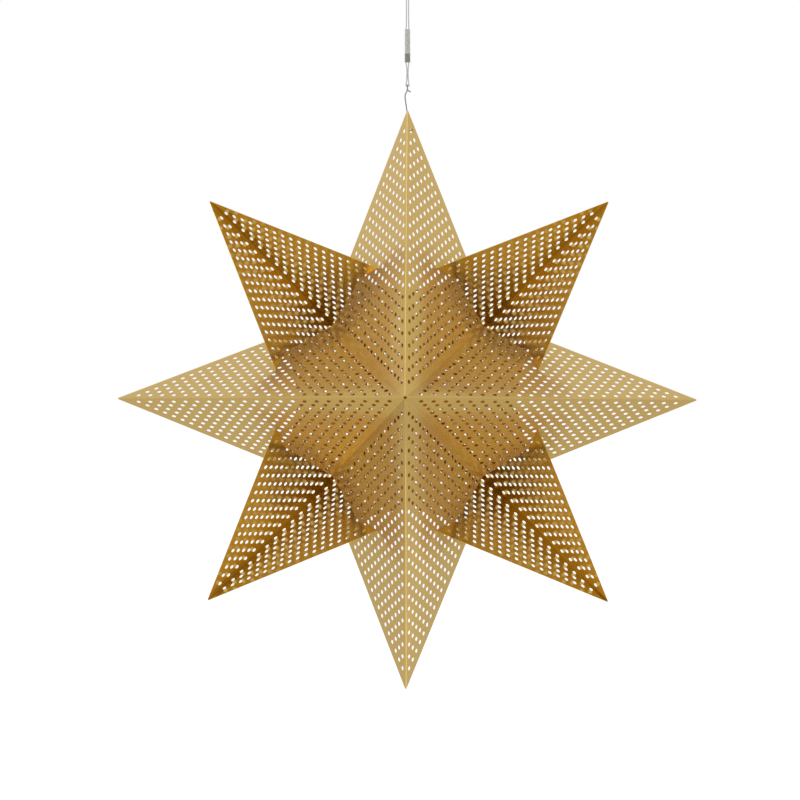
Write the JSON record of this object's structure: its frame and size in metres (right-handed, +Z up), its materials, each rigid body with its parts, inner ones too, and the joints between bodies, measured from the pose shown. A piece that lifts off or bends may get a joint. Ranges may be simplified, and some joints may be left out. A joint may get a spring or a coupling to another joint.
{
  "type": "star pendant",
  "caption": "Eight-pointed perforated gold sheet star made of two crossed folded stars, hung by a wire hook on a doubled clear line from a ceiling screw hook.",
  "frame": {"origin": "on the ceiling face, on the axis of the screw hook's shank, which the pendant hangs from", "axes": "+Z up along the screw, -Y towards the viewer (the front star's ridges face -Y), +X to the viewer's right"},
  "size_m": [0.6, 0.2197, 0.7569],
  "materials": {
    "gold_sheet": "gold anodised, satin to bright, thin perforated sheet",
    "gold_rivet": "gold anodised, satin",
    "steel_wire": "bright drawn spring wire",
    "clear_line": "clear nylon monofilament, greyish",
    "ferrule_metal": "crimped soft aluminium, dull",
    "clear_sleeve": "clear flexible tube",
    "hook_steel": "zinc plated steel wire"
  },
  "bodies": {
    "ceiling": {"ceiling_hook": "hook_steel"},
    "line": {"hanging_line": "clear_line", "line_ferrule": "ferrule_metal", "line_sleeve": "clear_sleeve"},
    "hook": {"wire_hook": "steel_wire"},
    "star": {"front_petal_top": "gold_sheet", "front_petal_right": "gold_sheet", "front_petal_bottom": "gold_sheet", "front_petal_left": "gold_sheet", "rear_petal_upper_right": "gold_sheet", "rear_petal_lower_right": "gold_sheet", "rear_petal_lower_left": "gold_sheet", "rear_petal_upper_left": "gold_sheet", "front_rivets": "gold_rivet", "rear_rivets": "gold_rivet"}
  },
  "joints": [
    {"name": "line_swing", "type": "hinge", "parent": "ceiling", "child": "line", "pos_m": [0, 0, -0.0229], "axis": [0, 1, 0], "range_deg": [-30, 30]},
    {"name": "hook_turn", "type": "hinge", "parent": "line", "child": "hook", "pos_m": [0, 0, -0.1198], "axis": [0, 0, 1], "range_deg": [-20, 20]},
    {"name": "star_swing", "type": "hinge", "parent": "hook", "child": "star", "pos_m": [0, 0, -0.1667], "axis": [1, 0, 0], "range_deg": [-8, 40]}
  ]
}
